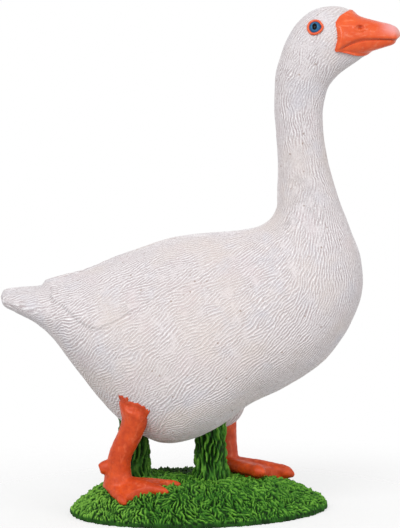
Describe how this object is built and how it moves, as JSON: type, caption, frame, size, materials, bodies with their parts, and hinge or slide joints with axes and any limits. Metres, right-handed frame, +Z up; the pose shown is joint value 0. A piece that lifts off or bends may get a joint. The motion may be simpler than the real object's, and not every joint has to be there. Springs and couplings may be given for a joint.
{
  "type": "goose figurine",
  "caption": "Painted one-piece figurine of a standing white goose with orange bill and webbed feet, on an oval mound of carved grass.",
  "frame": {"origin": "middle of the figurine's bounding box in plan, on the flat underside of the mound", "axes": "+X the way the goose looks, +Y to its left side, +Z up"},
  "size_m": [0.0666, 0.0334, 0.0849],
  "materials": {
    "plumage": "matt white paint over moulded plastic, slightly warm on the flank",
    "bill_and_legs": "satin orange paint over moulded plastic",
    "grass": "matt green paint with yellow-green dry brushing over moulded plastic",
    "eyes": "gloss blue paint with a black pupil"
  },
  "bodies": {
    "root": {"goose_figurine": "plumage"}
  },
  "joints": []
}
